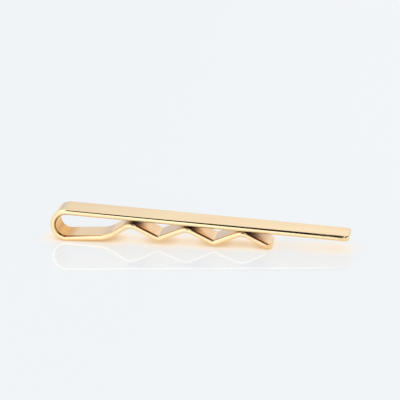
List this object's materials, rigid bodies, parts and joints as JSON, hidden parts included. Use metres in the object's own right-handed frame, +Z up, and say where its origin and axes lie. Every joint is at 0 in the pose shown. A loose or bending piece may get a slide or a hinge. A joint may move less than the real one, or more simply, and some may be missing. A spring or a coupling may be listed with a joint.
{
  "type": "tie clip",
  "caption": "Slide-on tie clip bent from springy metal strip: flat front bar, return bend and a waved leg whose crests press the cloth against the bar.",
  "frame": {"origin": "middle of the clip's footprint, on the table that it lies on", "axes": "+X along the clip towards its open end, +Y across the strip's width, +Z up from the table towards the front bar"},
  "size_m": [0.0548, 0.0054, 0.006],
  "materials": {
    "polished_gold": "gold-plated brass, mirror-polished, with light handling marks"
  },
  "bodies": {
    "leg": {"return_bend": "polished_gold", "heel_run": "polished_gold", "grip_wave": "polished_gold", "lead_in_tip": "polished_gold"},
    "bar": {"front_bar": "polished_gold"}
  },
  "joints": [
    {"name": "bar_lift", "type": "hinge", "parent": "leg", "child": "bar", "pos_m": [-0.02597, 0, 0.003], "axis": [0, -1, 0], "range_deg": [0, 7], "stiffness_Nm_per_rad": 1.6, "springref_deg": -1.72, "deforming": ["return_bend"]}
  ]
}
